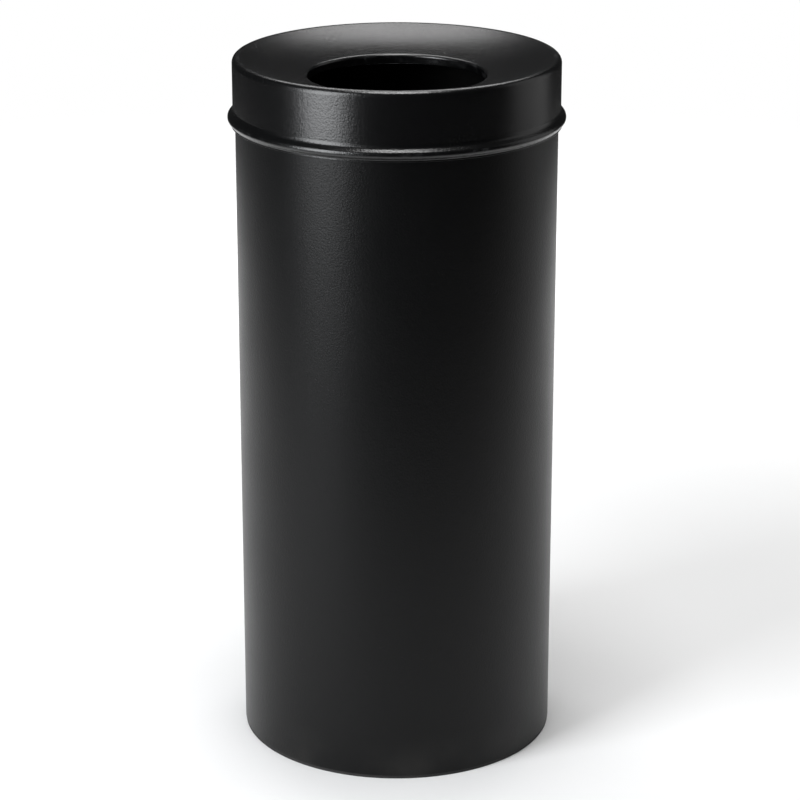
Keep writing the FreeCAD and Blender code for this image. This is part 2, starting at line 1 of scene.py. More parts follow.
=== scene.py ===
"""Looks of a round steel litter bin: black body and funnel lid, galvanised liner with a bail."""
import json
import math
import bmesh
import bpy
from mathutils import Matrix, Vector


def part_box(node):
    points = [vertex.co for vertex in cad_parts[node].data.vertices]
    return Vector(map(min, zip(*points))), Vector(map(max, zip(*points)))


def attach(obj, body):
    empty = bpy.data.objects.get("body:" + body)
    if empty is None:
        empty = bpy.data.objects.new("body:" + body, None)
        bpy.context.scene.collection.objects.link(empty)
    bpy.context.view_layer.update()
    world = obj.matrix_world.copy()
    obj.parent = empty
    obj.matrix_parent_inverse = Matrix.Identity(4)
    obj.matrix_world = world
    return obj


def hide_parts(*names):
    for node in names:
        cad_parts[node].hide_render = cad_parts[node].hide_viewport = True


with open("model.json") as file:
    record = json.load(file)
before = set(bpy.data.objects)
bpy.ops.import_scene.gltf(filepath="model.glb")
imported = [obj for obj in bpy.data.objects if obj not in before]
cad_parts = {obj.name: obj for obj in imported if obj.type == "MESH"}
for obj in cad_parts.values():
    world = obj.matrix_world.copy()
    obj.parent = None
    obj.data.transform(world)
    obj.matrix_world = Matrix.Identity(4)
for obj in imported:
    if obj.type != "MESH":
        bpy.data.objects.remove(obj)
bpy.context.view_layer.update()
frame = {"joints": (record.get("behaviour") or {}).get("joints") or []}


# ---- Body shell ------------------------------------------------------------------------------
# Steel sheet rolled to a tube and butt-welded down the back, the weld ground nearly flush.
# The top edge is folded inwards into a closed hem. Satin black powder coat with a fine grain.

def rounded(corners, steps=6):
    """An outline with its bends drawn in: each corner is (across, up) or (across, up, bend)."""
    points = []
    for number, corner in enumerate(corners):
        here = Vector(corner[:2])
        if len(corner) == 2:
            points.append(here)
            continue
        bend = corner[2]
        back = (Vector(corners[number - 1][:2]) - here).normalized()
        on = (Vector(corners[(number + 1) % len(corners)][:2]) - here).normalized()
        half = back.angle(on) / 2
        reach = bend / math.tan(half)
        hold = min(bend / 10, 0.0001)
        middle = here + (back + on).normalized() * (bend / math.sin(half))
        start = (here + back * reach - middle).normalized()
        end = (here + on * reach - middle).normalized()
        points.append(here + back * (reach + hold))
        for step in range(steps + 1):
            points.append(middle + start.slerp(end, step / steps) * bend)
        points.append(here + on * (reach + hold))
    return points


def open_edit(kind="VERT"):
    """Edit mode, in one select mode, with everything selected."""
    bpy.ops.object.mode_set(mode="EDIT")
    bpy.ops.mesh.select_mode(type=kind)
    bpy.ops.mesh.select_all(action="SELECT")


def close_edit():
    """Doubles merged, faces turned outwards, back to object mode."""
    bpy.ops.mesh.select_all(action="SELECT")
    bpy.ops.mesh.remove_doubles(threshold=2e-6)
    bpy.ops.mesh.normals_make_consistent(inside=False)
    bpy.ops.object.mode_set(mode="OBJECT")


def pick(piece, kind, wanted):
    """In edit mode, selects the vertices, edges or faces whose middle passes a test."""
    bpy.ops.mesh.select_mode(type={"verts": "VERT", "edges": "EDGE", "faces": "FACE"}[kind])
    bpy.ops.mesh.select_all(action="DESELECT")
    net = bmesh.from_edit_mesh(piece.data)
    for part in getattr(net, kind):
        ends = [part] if kind == "verts" else part.verts
        if wanted(sum((end.co for end in ends), Vector()) / len(ends)):
            part.select_set(True)
    net.select_flush_mode()
    bmesh.update_edit_mesh(piece.data)


def turned(name, outline, filled=False, around=240):
    """Draws a ring at the outline's first point and pulls it along the rest, all the way round.
    A filled one starts and ends as a flat disc; any other closes on its own first ring."""
    bpy.ops.object.select_all(action="DESELECT")
    here = outline[0]
    bpy.ops.mesh.primitive_circle_add(vertices=around, radius=here.x, location=(0, 0, here.y),
                                      fill_type="TRIFAN" if filled else "NOTHING")
    piece = bpy.context.object
    piece.name = name
    bpy.ops.object.transform_apply(location=True, rotation=True, scale=True)
    open_edit()
    for point in outline[1:] if filled else outline[1:] + outline[:1]:
        bpy.ops.mesh.extrude_region_move(TRANSFORM_OT_translate={"value": (0, 0, point.y - here.y)})
        share = point.x / here.x
        bpy.ops.transform.resize(value=(share, share, 1), center_override=(0, 0, 0))
        here = point
    close_edit()
    return piece


def seam(piece, width, depth):
    """A shallow groove down the back of a turned piece, where its two ends meet."""
    open_edit("EDGE")
    pick(piece, "edges", lambda at: abs(at.x) < 1e-6 and at.y > 0)
    bpy.ops.mesh.bevel(offset=width / 2, segments=2, affect="EDGES")
    bpy.ops.mesh.select_all(action="SELECT")
    bpy.ops.mesh.normals_make_consistent(inside=False)
    pick(piece, "verts", lambda at: abs(at.x) < 1e-6 and at.y > 0)
    bpy.ops.transform.shrink_fatten(value=-depth)
    close_edit()


class Wire:
    """One node's answer. Sums with other answers and with numbers add Math nodes."""

    def __init__(self, finish, socket):
        self.finish = finish
        self.socket = socket

    def sum(self, operation, first, second):
        return self.finish.node("ShaderNodeMath", {"operation": operation}, {0: first, 1: second})

    def __add__(self, other):
        return self.sum("ADD", self, other)

    __radd__ = __add__

    def __sub__(self, other):
        return self.sum("SUBTRACT", self, other)

    def __rsub__(self, other):
        return self.sum("SUBTRACT", other, self)

    def __mul__(self, other):
        return self.sum("MULTIPLY", self, other)

    __rmul__ = __mul__

    def over(self, low, high):
        """0 below one value, 1 above the other, smooth between; backwards if low is the higher."""
        limits = {"Value": self, "From Min": low, "From Max": high}
        return self.finish.node("ShaderNodeMapRange", {"interpolation_type": "SMOOTHSTEP"}, limits)


class Finish:
    """A material in the making on one Principled shader."""

    def __init__(self, name, metallic=0.0, gloss=0.5):
        self.material = bpy.data.materials.new(name)
        self.material.use_nodes = True
        self.tree = self.material.node_tree
        self.shader = self.tree.nodes["Principled BSDF"]
        self.shader.inputs["Metallic"].default_value = metallic
        self.shader.inputs["Specular IOR Level"].default_value = gloss
        self.place = self.node("ShaderNodeTexCoord", {}, {}, "Object")
        self.across, self.along, self.up = (
            self.node("ShaderNodeSeparateXYZ", {}, {"Vector": self.place}, axis) for axis in "XYZ")

    def node(self, kind, settings, sockets, answer=0):
        """Adds one node: its settings first, then numbers or wires into its sockets."""
        made = self.tree.nodes.new(kind)
        for name, value in settings.items():
            setattr(made, name, value)
        for name, value in sockets.items():
            self.plug(made.inputs[name], value)
        return Wire(self, made.outputs[answer])

    def plug(self, socket, value):
        if isinstance(value, Wire):
            self.tree.links.new(value.socket, socket)
        else:
            socket.default_value = value

    def stretched(self, x, y, z):
        """Object coordinates multiplied along each axis: a small number draws a pattern out."""
        factors = {0: self.place, 1: (x, y, z)}
        return self.node("ShaderNodeVectorMath", {"operation": "MULTIPLY"}, factors)

    def noise(self, grain, detail=2.0, place=None):
        """Soft noise from 0 to 1 with patches about as wide as grain, in metres."""
        sockets = {"Vector": place or self.place, "Scale": 1 / grain, "Detail": detail}
        return self.node("ShaderNodeTexNoise", {}, sockets)

    def radius(self, back=0.0):
        """Distance from the bin's axis, or from an upright line so far behind it."""
        ends = {0: self.stretched(1, 1, 0), 1: (0, back, 0)}
        return self.node("ShaderNodeVectorMath", {"operation": "DISTANCE"}, ends, "Value")

    def blend(self, share, low, high):
        """A colour between two others."""
        return self.node("ShaderNodeMix", {"data_type": "RGBA"}, {0: share, 6: low, 7: high}, 2)

    def bump(self, height, depth, over=None):
        """Relief of a height from 0 to 1, so many metres deep."""
        sockets = {"Height": height, "Distance": depth}
        if over:
            sockets["Normal"] = over
        return self.node("ShaderNodeBump", {}, sockets)

    def wear(self, colour, roughness, relief):
        """Plugs in what varies over the surface."""
        self.plug(self.shader.inputs["Base Color"], colour)
        self.plug(self.shader.inputs["Roughness"], roughness)
        self.plug(self.shader.inputs["Normal"], relief)
        return self.material


def powder_coat(name, gloss, roughness, rub):
    """Satin black powder coat. rub(finish) is 1 where hands and bags have polished the edges."""
    coat = Finish(name, gloss=gloss)
    black = (0.0018, 0.0019, 0.0021, 1)
    rubbed = (0.020, 0.0205, 0.021, 1)
    dusty = (0.022, 0.0215, 0.020, 1)
    grain = coat.noise(0.0017, 3)
    peel = coat.noise(0.0055, 2)
    cloud = coat.noise(0.075, 4)
    streak = coat.noise(0.02, 3, coat.stretched(1, 1, 0.08))
    speck = coat.noise(0.0016, 1).over(0.70, 0.76)
    dust = coat.up.over(0.05, 0.0) * cloud.over(0.35, 0.7) * 0.6 + speck * cloud.over(0.5, 0.7) * 0.5
    edge = rub(coat) * coat.noise(0.011, 4).over(0.46, 0.70)
    colour = coat.blend(edge, coat.blend(dust, black, dusty), rubbed)
    shine = roughness + (cloud - 0.5) * 0.08 + (streak - 0.5) * 0.03 + (grain - 0.5) * 0.08 - edge * 0.04
    relief = coat.bump(grain, 0.00017, coat.bump(peel, 0.00005))
    return coat.wear(colour, shine, relief)


def done(piece, material, body, slot, *nodes):
    """Gives a piece its finish and its body, and hides the CAD nodes it stands for; slot is not used."""
    piece.data.materials.clear()
    piece.data.materials.append(material)
    bpy.ops.object.select_all(action="DESELECT")
    piece.select_set(True)
    bpy.context.view_layer.objects.active = piece
    bpy.ops.object.transform_apply(location=True, rotation=True, scale=True)
    bpy.ops.object.shade_smooth_by_angle(angle=math.radians(32))
    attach(piece, body)
    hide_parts(*nodes)


sheet = 0.001
shell_low, shell_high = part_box("body_shell")
shell_out = shell_high.x
shell_in = shell_out - sheet
hem_in = shell_in - sheet
hem_deep = 0.010
hem_low = shell_high.z - hem_deep
shell = turned("shell", rounded([
    (shell_out, shell_low.z, 0.0002),
    (shell_out, shell_high.z, 0.0009),
    (hem_in, shell_high.z, 0.0009),
    (hem_in, hem_low, 0.0002),
    (shell_in, hem_low),
    (shell_in, shell_low.z, 0.0002),
]))
seam(shell, 0.004, 0.00015)
rubbed = (shell_high.z - 0.002, shell_high.z - 0.0005)
body_coat = powder_coat("body coat", 0.21, 0.35, lambda coat: coat.up.over(*rubbed))
done(shell, body_coat, "outer_body", "black_powder_coat", "body_shell")


# ---- Base pan --------------------------------------------------------------------------------
# Pressed from one sheet: a plateau the liner stands on, a gutter round it with four drain
# holes, and a flange turned down and spot-welded inside the shell. Coated with the shell.

pan_low, pan_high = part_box("base_pan")
pan_out = pan_high.x
seat = pan_high.z
gutter = seat - 0.004
middle_disc = 0.090
plateau = 0.128
slope_end = 0.132
pan_bend = 0.003
lean = sheet * math.tan(math.radians(22.5))
pan = turned("pan", rounded([
    (middle_disc, seat),
    (plateau, seat, pan_bend),
    (slope_end, gutter, pan_bend - sheet),
    (pan_out, gutter, pan_bend),
    (pan_out, pan_low.z, 0.0002),
    (pan_out - sheet, pan_low.z, 0.0002),
    (pan_out - sheet, gutter - sheet, pan_bend - sheet),
    (slope_end - lean, gutter - sheet, pan_bend),
    (plateau - lean, seat - sheet, pan_bend - sheet),
    (middle_disc, seat - sheet),
]), filled=True)


def bored(piece, places, radius, depth, along="Z"):
    """Round holes through a piece at the given places."""
    turn = {"X": (0, math.pi / 2, 0), "Z": (0, 0, 0)}[along]
    for place in places:
        bpy.ops.mesh.primitive_cylinder_add(vertices=48, radius=radius, depth=depth, location=place,
                                            rotation=turn)
        drill = bpy.context.object
        cut = piece.modifiers.new("hole", "BOOLEAN")
        cut.operation = "DIFFERENCE"
        cut.solver = "EXACT"
        cut.object = drill
        bpy.context.view_layer.objects.active = piece
        bpy.ops.object.modifier_apply(modifier=cut.name)
        bpy.data.objects.remove(drill)


drain_at = slope_end + 0.004
drains = [(drain_at, 0, gutter), (0, drain_at, gutter), (-drain_at, 0, gutter), (0, -drain_at, gutter)]
drain_radius = 0.0035
bored(pan, drains, drain_radius, depth=0.006)
pan_coat = powder_coat("pan coat", 0.30, 0.46, lambda coat: coat.radius().over(plateau - 0.006, plateau))
done(pan, pan_coat, "outer_body", "black_powder_coat", "base_pan")


# ---- Foot ring -------------------------------------------------------------------------------
# Extruded black rubber, cut to length, bent round and pushed up inside the pan's flange with a
# butt joint at the back. Matt, with a fine skin, and scuffed grey where it meets the ground.

foot_low, foot_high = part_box("foot_ring")
foot_out = foot_high.x
foot_wide = 0.010
foot_in = foot_out - foot_wide
tread = shell_low.z
upstand_out = pan_out - sheet
upstand_in = upstand_out - 0.003
foot = turned("foot", rounded([
    (foot_in, foot_low.z, 0.0006),
    (foot_out, foot_low.z, 0.0006),
    (foot_out, tread, 0.0003),
    (upstand_out, tread),
    (upstand_out, foot_high.z, 0.0006),
    (upstand_in, foot_high.z, 0.0006),
    (upstand_in, tread),
    (foot_in, tread, 0.0006),
], steps=4))
seam(foot, 0.0008, 0.0008)


def rubber(name):
    """Matt black rubber with a fine skin, flow lines from moulding and grey scuffs low down."""
    skin = Finish(name, gloss=0.4)
    grain = skin.noise(0.0006, 3)
    cloud = skin.noise(0.012, 4)
    flow = skin.noise(0.003, 2, skin.stretched(1, 1, 6))
    scuff = skin.up.over(0.0015, 0.0) * cloud.over(0.45, 0.6)
    colour = skin.blend(scuff * 0.7 + cloud * 0.25, (0.014, 0.014, 0.014, 1), (0.075, 0.072, 0.068, 1))
    shine = 0.72 + (cloud - 0.5) * 0.14 + (grain - 0.5) * 0.1
    return skin.wear(colour, shine, skin.bump(grain, 0.00004, skin.bump(flow, 0.00005)))


black_rubber = rubber("rubber")
done(foot, black_rubber, "outer_body", "black_rubber", "foot_ring")


# ---- Liner wall ------------------------------------------------------------------------------
# Galvanised sheet rolled to a tube, its ends hooked together in a flattened lock seam down the
# back. The top edge curls outwards over a steel wire; the bottom edge hangs below the base.

thin = 0.0008
wall_low, wall_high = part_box("liner_shell")
curl_out = 0.00285
curl_in = curl_out - thin
curl_at = wall_high.x - curl_out
curl_up = wall_high.z - curl_out
liner_in = curl_at - curl_out
liner_out = liner_in + thin


def curl(radius, first, last, steps=14):
    """Part of a round about the rim's wire, from one angle to another in degrees."""
    angles = [math.radians(first + (last - first) * step / steps) for step in range(steps + 1)]
    return [Vector((curl_at + radius * math.cos(a), curl_up + radius * math.sin(a))) for a in angles]


seam_foot = wall_low.z + 0.006
seam_head = curl_up - 0.008
wall = turned("liner_wall", rounded([
    (liner_out, seam_head),
    (liner_out, seam_foot),
    (liner_out, wall_low.z, 0.0002),
    (liner_in, wall_low.z, 0.0002),
    (liner_in, curl_up - 0.0006),
]) + curl(curl_out, 180, -90) + curl(curl_in, -90, 180) + [Vector((liner_out, curl_up - 0.0006))])
seam_half = liner_out * math.sin(math.radians(1.5)) + 0.0001
open_edit("FACE")
pick(wall, "faces", lambda at: abs(at.x) < seam_half and at.y > liner_out - 0.0002
     and seam_foot < at.z < seam_head)
bpy.ops.mesh.extrude_region_shrink_fatten(TRANSFORM_OT_shrink_fatten={"value": 0.0008})
close_edit()


def galvanised(name, roughness=0.36):
    """Hot-dip zinc: grey crystals a few millimetres wide, each with its own tone and gloss."""
    zinc = Finish(name, metallic=1.0)
    crystals = {"Vector": zinc.place, "Scale": 1 / 0.009, "Randomness": 1.0}
    cell = zinc.node("ShaderNodeTexVoronoi", {"feature": "F1"}, crystals, "Color")
    tone = zinc.node("ShaderNodeSeparateColor", {}, {"Color": cell}, "Red")
    seams = zinc.node("ShaderNodeTexVoronoi", {"feature": "DISTANCE_TO_EDGE"}, crystals, "Distance")
    feather = zinc.noise(0.0015, 4)
    cloud = zinc.noise(0.06, 4)
    scratch = zinc.noise(0.0012, 3, zinc.stretched(1, 1, 0.05)).over(0.62, 0.72)
    shade = tone * 0.45 + feather * 0.25 + cloud * 0.3
    colour = zinc.blend(shade, (0.42, 0.44, 0.46, 1), (0.66, 0.68, 0.70, 1))
    shine = roughness + (tone - 0.5) * 0.16 + (cloud - 0.5) * 0.2 + scratch * 0.1
    height = seams.over(0.0, 0.08) * 0.5 + feather * 0.5
    return zinc.wear(colour, shine, zinc.bump(scratch, -0.00003, zinc.bump(height, 0.00005)))


zinc_sheet = galvanised("galvanised sheet")
done(wall, zinc_sheet, "liner", "galvanised_sheet", "liner_shell")


# ---- Liner rim wire --------------------------------------------------------------------------
# Drawn steel wire, zinc-plated, that stiffens the liner's rim. Only its underside shows, in the
# slot where the curled edge ends. A true round lies closer in the curl than the CAD's facets do.

def plated_wire(name):
    """Zinc-plated wire: fine die lines along it and a slightly uneven, cloudy plating."""
    plating = Finish(name, metallic=1.0)
    cloud = plating.noise(0.010, 4)
    lines = plating.noise(0.0005, 2)
    pits = plating.noise(0.0011, 2).over(0.64, 0.72)
    colour = plating.blend(cloud * 0.7 + lines * 0.3, (0.30, 0.31, 0.33, 1), (0.60, 0.62, 0.65, 1))
    shine = 0.30 + (cloud - 0.5) * 0.2 + (lines - 0.5) * 0.12 + pits * 0.2
    return plating.wear(colour, shine, plating.bump(pits, -0.00003, plating.bump(lines, 0.00002)))


wire_radius = 0.00198
rim_wire = turned("rim_wire", [
    Vector((curl_at + wire_radius * math.cos(step * math.pi / 10),
            curl_up + wire_radius * math.sin(step * math.pi / 10))) for step in range(20)])
wire_plating = plated_wire("plated wire")
done(rim_wire, wire_plating, "liner", "zinc_wire", "liner_rim_wire")


# ---- Liner base ------------------------------------------------------------------------------
# Flat disc pressed from the same sheet, its edge turned down inside the wall and soldered there.

base_low, base_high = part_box("liner_base")
base_out = base_high.x
base_top = base_high.z
base_disc = 0.100
base = turned("liner_base_disc", rounded([
    (base_disc, base_top - thin),
    (base_out - thin, base_top - thin, 0.0012),
    (base_out - thin, base_low.z),
    (base_out, base_low.z),
    (base_out, base_top, 0.0020),
    (base_disc, base_top),
]), filled=True)
done(base, zinc_sheet, "liner", "galvanised_sheet", "liner_base")


# ---- Liner ears ------------------------------------------------------------------------------
# Two thicker galvanised plates, rolled to the wall's curve and riveted inside it. They stand
# above the rim and carry the ends of the bail. Cut edges are broken and the top corners round.

def cut_out(piece, middle, sweep):
    """Cuts a turned piece down to the part within half a sweep to each side of an angle."""
    for way in (1, -1):
        angle = middle + way * sweep / 2
        open_edit()
        bpy.ops.mesh.bisect(plane_co=(0, 0, 0), plane_no=(-way * math.sin(angle), way * math.cos(angle), 0),
                            use_fill=True, clear_outer=True)
        close_edit()


def softened(piece, width, segments=2):
    """Breaks every sharp edge of a piece."""
    bevel = piece.modifiers.new("broken edges", "BEVEL")
    bevel.width = width
    bevel.segments = segments
    bevel.limit_method = "ANGLE"
    bevel.angle_limit = math.radians(40)
    bpy.context.view_layer.objects.active = piece
    bpy.ops.object.modifier_apply(modifier=bevel.name)


def copied(piece, name, turn, shift=(0, 0, 0)):
    """A copy with its own mesh, turned about the bin's axis and then moved."""
    bpy.ops.object.select_all(action="DESELECT")
    piece.select_set(True)
    bpy.context.view_layer.objects.active = piece
    bpy.ops.object.duplicate()
    copy = bpy.context.object
    copy.name = name
    copy.rotation_euler.z = turn
    copy.location = shift
    bpy.ops.object.transform_apply(location=True, rotation=True, scale=True)
    return copy


pivot = Vector(next(joint for joint in frame["joints"] if joint["name"] == "bail_swing")["pos_m"])
ear_low, ear_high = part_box("liner_ear_right")
ear_sheet = 0.002
ear_in = liner_in - ear_sheet
ear_middle = liner_in - ear_sheet / 2
ear_sweep = 2 * math.asin(ear_high.y / liner_in)
ear_right = turned("ear_right", rounded([
    (liner_in, ear_low.z),
    (liner_in, ear_high.z),
    (ear_in, ear_high.z),
    (ear_in, ear_low.z),
]))
cut_out(ear_right, 0, ear_sweep)
open_edit("EDGE")
corner_y = ear_middle * math.sin(ear_sweep / 2)
pick(ear_right, "edges", lambda at: at.z > ear_high.z - 1e-5 and abs(abs(at.y) - corner_y) < 1e-4)
bpy.ops.mesh.bevel(offset=0.007, segments=8, affect="EDGES")
close_edit()
pivot_hole = 0.00262
bored(ear_right, [(ear_middle, 0, pivot.z)], pivot_hole, depth=0.008, along="X")
softened(ear_right, 0.0003)
ear_left = copied(ear_right, "ear_left", math.pi)
done(ear_right, zinc_sheet, "liner", "galvanised_sheet", "liner_ear_right")
done(ear_left, zinc_sheet, "liner", "galvanised_sheet", "liner_ear_left")


# ---- Ear rivets ------------------------------------------------------------------------------
# Four solid steel rivets, two to an ear, with low domed heads inside and outside the wall.

rivet_low, rivet_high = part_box("liner_ear_rivets")
head_radius = 0.004
head_height = rivet_high.x - liner_out
bpy.ops.object.select_all(action="DESELECT")
bpy.ops.mesh.primitive_cylinder_add(vertices=32, radius=head_radius, depth=head_height,
                                    location=(head_height / 2, 0, 0), rotation=(0, math.pi / 2, 0))
head = bpy.context.object
bpy.ops.object.transform_apply(location=True, rotation=True, scale=True)
open_edit("FACE")
pick(head, "faces", lambda at: abs(at.x - head_height) < 1e-5)
bpy.ops.mesh.bevel(offset=0.0014, segments=5, affect="EDGES")
close_edit()

head_seat = math.sqrt(ear_in ** 2 - head_radius ** 2)
heads = []
for height in (rivet_low.z + head_radius, rivet_high.z - head_radius):
    heads.append(copied(head, "head", 0, (liner_out, 0, height)))
    heads.append(copied(head, "head", math.pi, (head_seat, 0, height)))
    heads.append(copied(head, "head", math.pi, (-liner_out, 0, height)))
    heads.append(copied(head, "head", 0, (-head_seat, 0, height)))
bpy.data.objects.remove(head)
for each in heads:
    each.select_set(True)
bpy.ops.object.join()
rivets = bpy.context.object
rivets.name = "ear_rivets"
done(rivets, plated_wire("rivet steel"), "liner", "rivet_steel", "liner_ear_rivets")


# ---- Bail ------------------------------------------------------------------------------------
# Zinc-plated wire bent to a half round that lies on the rim. Its ends turn out through the ears
# and are upset into flat heads, so it can't come off. It swings over the liner to be carried.

wire = 0.0025
bail_low, bail_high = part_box("liner_bail")
knee = 0.005
head_in = liner_in + 0.0008
head_thick = bail_high.x - head_in
head_wide = 0.0045
bow = 0.1285
bow_at = bail_low.y + wire + bow
up = pivot.z
bpy.ops.object.select_all(action="DESELECT")
bpy.ops.mesh.primitive_circle_add(vertices=24, radius=wire, location=(0, bow_at - bow, up),
                                  rotation=(0, math.pi / 2, 0))
bail = bpy.context.object
bail.name = "bail_wire"
bpy.ops.object.transform_apply(location=True, rotation=True, scale=True)
open_edit()
bpy.ops.mesh.spin(steps=48, angle=-math.pi / 2, center=(0, bow_at, up), axis=(0, 0, 1))
bpy.ops.mesh.extrude_region_move(TRANSFORM_OT_translate={"value": (0, -knee - bow_at, 0)})
bpy.ops.mesh.spin(steps=8, angle=math.pi / 2, center=(bow + knee, -knee, up), axis=(0, 0, 1))
bpy.ops.mesh.extrude_region_move(TRANSFORM_OT_translate={"value": (head_in - bow - knee, 0, 0)})
for step, size in ((0.0, head_wide - 0.0004), (0.0004, head_wide), (head_thick - 0.0012, head_wide),
                   (0.0008, head_wide - 0.0008)):
    bpy.ops.mesh.extrude_region_move(TRANSFORM_OT_translate={"value": (step, 0, 0)})
    ring = [v.co for v in bmesh.from_edit_mesh(bail.data).verts if v.select]
    now = max(at.z for at in ring) - up
    bpy.ops.transform.resize(value=(1, size / now, size / now), center_override=(0, 0, up))
bpy.ops.mesh.edge_face_add()
close_edit()
other_half = bail.modifiers.new("other half", "MIRROR")
other_half.merge_threshold = 1e-5
bpy.ops.object.modifier_apply(modifier=other_half.name)
done(bail, wire_plating, "bail", "zinc_wire", "liner_bail")


# ---- Bail grip -------------------------------------------------------------------------------
# Black plastic sleeve moulded on the crown of the bail, with ribs across it for the fingers and
# plain collars at its ends. Matt, with a fine spark-eroded grain from the mould.

grip_low, grip_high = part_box("bail_grip")
grip_radius = (grip_high.z - grip_low.z) / 2
grip_sweep = math.radians(44)
slices = 66
rib_deep = 0.86
grip_end = -grip_sweep / 2
bpy.ops.object.select_all(action="DESELECT")
bpy.ops.mesh.primitive_circle_add(vertices=32, radius=grip_radius, fill_type="NGON",
                                  location=(bow * math.sin(grip_end), bow_at - bow * math.cos(grip_end), up),
                                  rotation=(0, math.pi / 2, grip_end))
grip = bpy.context.object
grip.name = "grip"
bpy.ops.object.transform_apply(location=True, rotation=True, scale=True)
open_edit()
bpy.ops.mesh.spin(steps=slices, angle=-grip_sweep, center=(0, bow_at, up), axis=(0, 0, 1))


def slice_of(at):
    """Which cross-section of the grip a point lies in, counted from one end."""
    return (math.atan2(at.x, bow_at - at.y) - grip_end) / grip_sweep * slices


for number in range(8, slices - 6, 3):
    middle_angle = number / slices * grip_sweep + grip_end
    centre = (bow * math.sin(middle_angle), bow_at - bow * math.cos(middle_angle), up)
    pick(grip, "verts", lambda at: abs(slice_of(at) - number) < 0.2)
    bpy.ops.transform.resize(value=(rib_deep,) * 3, center_override=centre)
close_edit()
softened(grip, 0.0006, 3)


def moulded(name):
    """Matt black plastic: spark-eroded grain, faint sink marks and a slightly greyed skin."""
    plastic = Finish(name, gloss=0.45)
    grain = plastic.noise(0.0007, 3)
    cloud = plastic.noise(0.015, 3)
    colour = plastic.blend(cloud * 0.6 + grain * 0.2, (0.014, 0.014, 0.015, 1), (0.036, 0.036, 0.038, 1))
    shine = 0.50 + (cloud - 0.5) * 0.12 + (grain - 0.5) * 0.12
    return plastic.wear(colour, shine, plastic.bump(grain, 0.00004, plastic.bump(cloud, 0.0001)))


done(grip, moulded("moulded plastic"), "bail", "black_plastic", "bail_grip")


# ---- Lid dish --------------------------------------------------------------------------------
# Pressed steel funnel, steep at the rim and flatter towards the opening, where it turns down into
# a short neck with a closed hem. Butt-welded to the skirt and ground flush. A glossier coat.

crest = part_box("lid_skirt")[1]
bead_proud = 0.0048
skirt_out = crest.x - bead_proud
skirt_in = skirt_out - sheet
rim_slope = math.radians(21)
mouth_slope = math.radians(10.5)
rim_bend = 0.0055
rim_corner = crest.z + rim_bend * (math.tan(rim_slope) + 1 / math.cos(rim_slope) - 1)
flange_end = skirt_out - 0.012
knee_at = skirt_out - 0.038
knee_under = knee_at + sheet * math.tan((rim_slope + mouth_slope) / 2)


def rim_up(across, layers):
    """Height of the dish's outer fall at a radius: its top, or so many sheets below."""
    return rim_corner - (skirt_out - across) * math.tan(rim_slope) - layers * sheet / math.cos(rim_slope)


def mouth_up(across, layers):
    """Height of the dish's inner fall at a radius: its top, or so many sheets below."""
    fall = (knee_at - across) * math.tan(mouth_slope)
    return rim_up(knee_at, 0) - fall - layers * sheet / math.cos(mouth_slope)


neck_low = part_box("lid_funnel")[0].z
neck_in = 0.083
hem_round = 0.0009
neck_bend = 0.003
dish_bend = 0.240
hem_top = neck_low + 0.005
neck_out = neck_in + sheet
dish = turned("dish", rounded([
    (flange_end, rim_up(flange_end, 0)),
    (knee_at, rim_up(knee_at, 0), dish_bend),
    (neck_in, mouth_up(neck_in, 0), neck_bend),
    (neck_in, neck_low, hem_round),
    (neck_in + 2 * sheet, neck_low, hem_round),
    (neck_in + 2 * sheet, hem_top, 0.0002),
    (neck_out, hem_top),
    (neck_out, mouth_up(neck_out, 1), neck_bend - sheet),
    (knee_under, rim_up(knee_under, 1), dish_bend + sheet),
    (flange_end, rim_up(flange_end, 1)),
], steps=8))


def lid_wear(coat):
    """Polished spots: the rim's top, the bead's crest and the edge of the opening."""
    rim = coat.up.over(crest.z - 0.0006, crest.z)
    bead = coat.radius().over(crest.x - 0.0008, crest.x - 0.0001)
    opening = coat.radius().over(neck_in + 0.002, neck_in + 0.0002) * coat.up.over(neck_low, neck_low + 0.004)
    return rim + bead + opening


lid_coat = powder_coat("lid coat", 0.50, 0.25, lid_wear)
done(dish, lid_coat, "lid", "black_powder_coat", "lid_funnel")


# ---- Lid skirt -------------------------------------------------------------------------------
# Band rolled from sheet and welded at the back, with a swaged bead and a small lip below it. Its
# top edge rolls in and falls to the dish's edge.

lip_step = 0.0016
lip_out = skirt_out + lip_step
lip_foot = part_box("lid_skirt")[0].z
lip_top = lip_foot + 0.0018
crest_low = lip_top + bead_proud - lip_step
crest_high = crest_low + 0.0034
root = crest_high + bead_proud
bead_bend = 0.0038
root_bend = 0.006
skirt = turned("skirt", rounded([
    (lip_out, lip_foot, 0.0002),
    (lip_out, lip_top, 0.0012),
    (crest.x, crest_low, bead_bend),
    (crest.x, crest_high, bead_bend),
    (skirt_out, root, root_bend),
    (skirt_out, rim_corner, rim_bend),
    (flange_end, rim_up(flange_end, 0)),
    (flange_end, rim_up(flange_end, 1)),
    (skirt_in, rim_up(skirt_in, 1), rim_bend - sheet),
    (skirt_in, root - lean, root_bend + sheet),
    (crest.x - sheet, crest_high - lean, bead_bend - sheet),
    (crest.x - sheet, crest_low + lean, bead_bend - sheet),
    (lip_out - sheet, lip_top + lean, 0.0012 + sheet),
    (lip_out - sheet, lip_foot, 0.0002),
], steps=8))
seam(skirt, 0.003, 0.0001)
done(skirt, lid_coat, "lid", "black_powder_coat", "lid_skirt")


# ---- Lid rests and pads ----------------------------------------------------------------------
# Four angle brackets folded from strip and spot-welded inside the skirt, each with a rubber pad
# glued under its shelf. The pads land on the body's top edge and carry the lid.

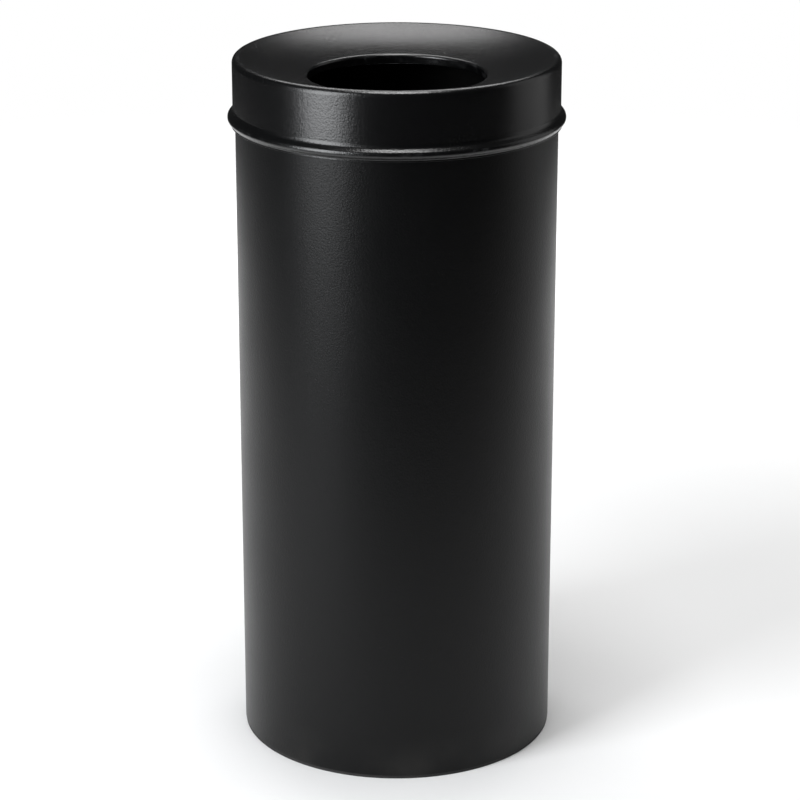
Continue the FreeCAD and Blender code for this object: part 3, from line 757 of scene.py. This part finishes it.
strip = 0.0015
rest_bend = 0.0025
rest_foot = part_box("lid_rest_1")[0].z
rest_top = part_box("lid_rest_1")[1].z
rest_tip = skirt_in - 0.011
first = math.radians(45)
rest = turned("rest_1", rounded([
    (rest_tip, rest_foot),
    (skirt_in, rest_foot, rest_bend),
    (skirt_in, rest_top),
    (skirt_in - strip, rest_top),
    (skirt_in - strip, rest_foot + strip, rest_bend - strip),
    (rest_tip, rest_foot + strip),
]))
cut_out(rest, first, math.radians(10))
softened(rest, 0.0002)

pad_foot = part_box("lid_pad_1")[0].z
pad_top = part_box("lid_pad_1")[1].z
pad_in = shell_out - 0.008
pad = turned("pad_1", rounded([
    (pad_in, pad_foot),
    (shell_out, pad_foot),
    (shell_out, pad_top),
    (pad_in, pad_top),
]))
cut_out(pad, first, math.radians(8))
softened(pad, 0.0004)

rests = [rest]
pads = [pad]
for number in (2, 3, 4):
    turn = math.radians(90 * (number - 1))
    rests.append(copied(rest, "rest_%d" % number, turn))
    pads.append(copied(pad, "pad_%d" % number, turn))
for number in range(1, 5):
    done(rests[number - 1], lid_coat, "lid", "black_powder_coat", "lid_rest_%d" % number)
    done(pads[number - 1], black_rubber, "lid", "black_rubber", "lid_pad_%d" % number)


# ---- Floor, light and camera -----------------------------------------------------------------
# A pale floor that glows a little further out and fades into a white surround. Tall softboxes at
# the left and right, one behind the bin for the dish, one overhead. The camera stands in front.

bpy.ops.mesh.primitive_circle_add(vertices=128, radius=6, fill_type="NGON")
floor = bpy.context.object
floor.name = "floor"
paper = Finish("paper floor")
paper.shader.inputs["Roughness"].default_value = 0.9
tone = paper.blend(paper.noise(0.4, 3), (0.86, 0.86, 0.86, 1), (0.90, 0.90, 0.90, 1))
paper.plug(paper.shader.inputs["Base Color"], tone)
paper.shader.inputs["Emission Strength"].default_value = 0.8
glow = paper.blend(paper.radius().over(0.45, 2.0), (0, 0, 0, 1), (1, 1, 1, 1))
paper.plug(paper.shader.inputs["Emission Color"], glow)
paper.plug(paper.shader.inputs["Alpha"], paper.radius(0.6).over(2.1, 1.0))
floor.data.materials.append(paper.material)

world = bpy.data.worlds.new("studio")
world.use_nodes = True
surround = world.node_tree.nodes["Background"]
eye = world.node_tree.nodes.new("ShaderNodeLightPath")
white = world.node_tree.nodes.new("ShaderNodeMapRange")
white.inputs["To Min"].default_value = 0.025
white.inputs["To Max"].default_value = 1.0
world.node_tree.links.new(eye.outputs["Is Camera Ray"], white.inputs["Value"])
world.node_tree.links.new(white.outputs["Result"], surround.inputs["Strength"])
surround.inputs["Color"].default_value = (1, 1, 1, 1)
bpy.context.scene.world = world


def softbox(name, azimuth, height, away, size, watts, colour, aim):
    """A lit rectangle standing so far off at an angle from the front, turned to a height."""
    angle = math.radians(azimuth)
    place = Vector((away * math.sin(angle), -away * math.cos(angle), height))
    bpy.ops.object.light_add(type="AREA", location=place)
    lamp = bpy.context.object
    lamp.name = name
    lamp.rotation_euler = (Vector((0, 0, aim)) - place).to_track_quat("-Z", "Y").to_euler()
    lamp.data.shape = "RECTANGLE"
    lamp.data.size, lamp.data.size_y = size
    lamp.data.energy = watts
    lamp.data.color = colour
    lamp.visible_camera = False


softbox("left_softbox", -50, 1.09, 1.7, (0.85, 1.75), 44, (0.96, 0.98, 1.0), 1.09)
softbox("right_softbox", 104, 1.10, 1.8, (1.3, 1.9), 4.5, (1.0, 1.0, 1.0), 1.10)
softbox("back_softbox", 180, 2.32, 1.12, (2.0, 1.0), 29, (1.0, 1.0, 1.0), 0.65)
softbox("top_softbox", 0, 3.0, 0.3, (1.0, 1.0), 48, (1.0, 1.0, 1.0), 0.0)

look_down = math.radians(19.13)
bpy.ops.object.camera_add(location=(0, -2.6, 1.23), rotation=(math.pi / 2 - look_down, 0, 0))
camera = bpy.context.object
camera.data.lens = 129
camera.data.shift_x = 0.004
bpy.context.scene.camera = camera
bpy.context.scene.view_settings.view_transform = "Standard"
